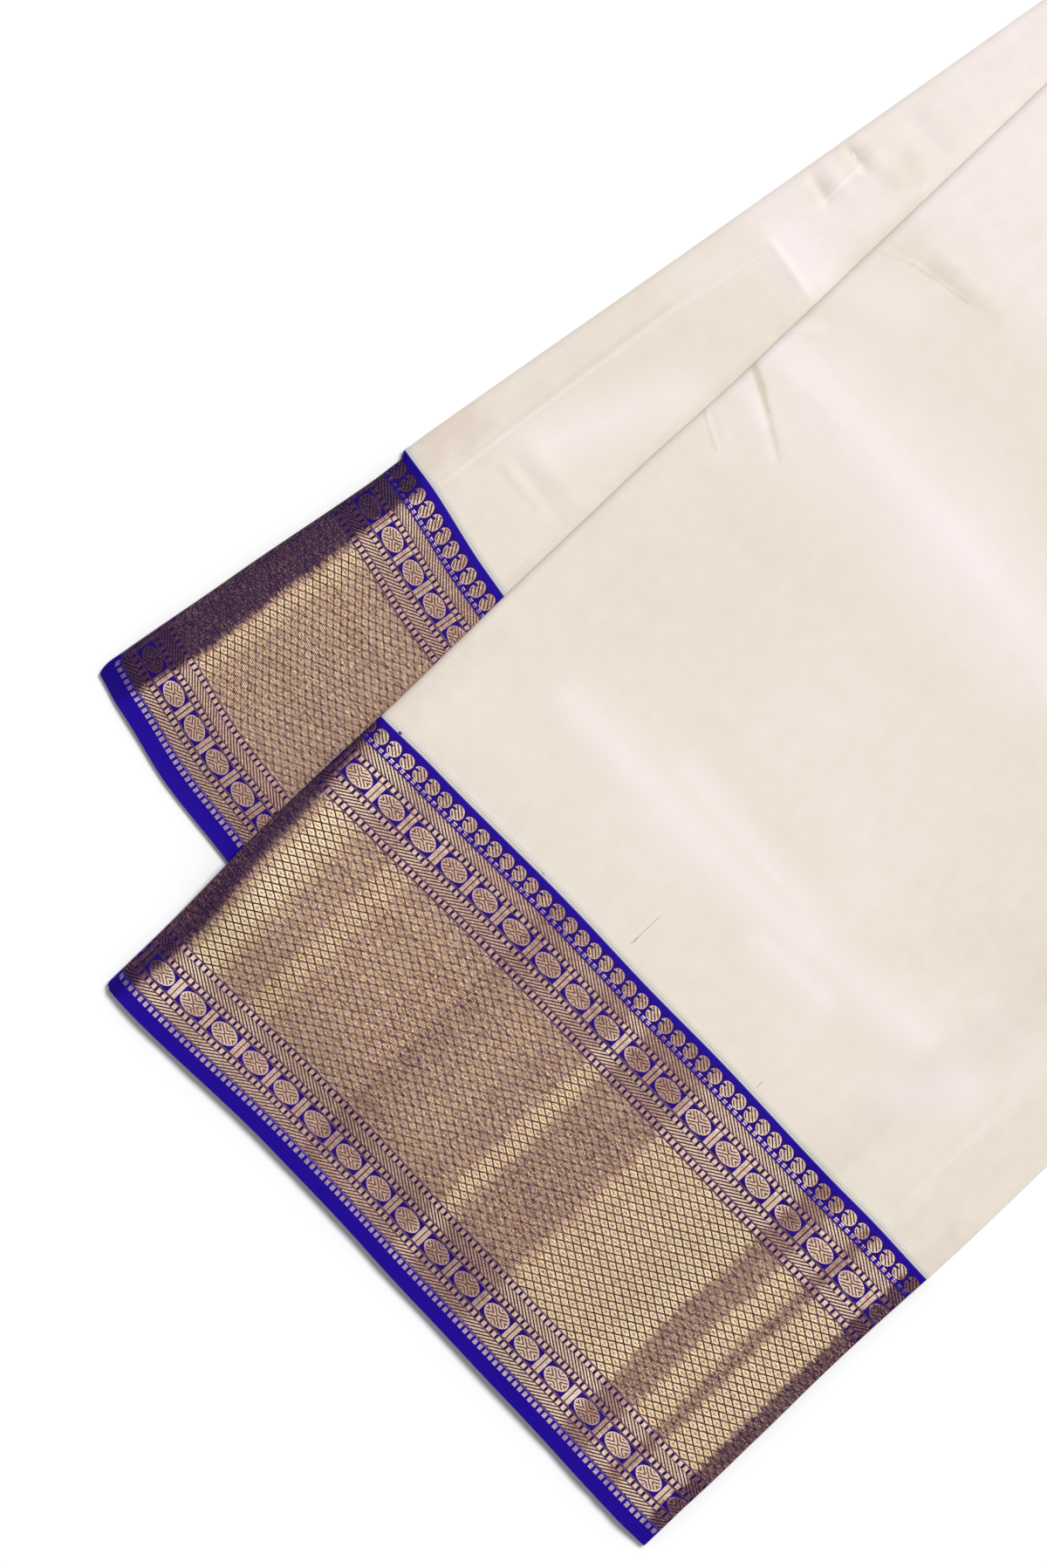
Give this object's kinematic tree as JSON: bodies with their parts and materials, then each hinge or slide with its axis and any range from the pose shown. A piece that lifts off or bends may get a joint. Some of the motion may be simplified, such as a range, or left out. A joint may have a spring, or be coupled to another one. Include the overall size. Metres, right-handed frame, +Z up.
{
  "type": "folded dhoti cloth",
  "caption": "Folded silk dhoti: a long cream cloth pleated lengthwise and turned in half, its two halves fanned, with a wide blue and gold woven diamond border at each hem.",
  "frame": {"origin": "under the middle of the folded cloth's footprint, on the surface that it lies on", "axes": "+X from the upper half's hem to the end fold, +Y to the side where the lower half shows, +Z up"},
  "size_m": [0.6844, 0.3842, 0.014],
  "materials": {
    "cream_silk": "smooth silk with a soft sheen",
    "woven_border": "gold thread brocade on dark blue silk",
    "blue_selvedge": "plain blue silk"
  },
  "bodies": {
    "root": {"upper_border": "woven_border", "upper_body": "cream_silk", "upper_border_layers": "blue_selvedge", "upper_body_layers": "cream_silk", "lower_border": "woven_border", "lower_body": "cream_silk", "lower_border_layers": "blue_selvedge", "lower_body_layers": "cream_silk", "end_fold": "cream_silk"}
  },
  "joints": []
}
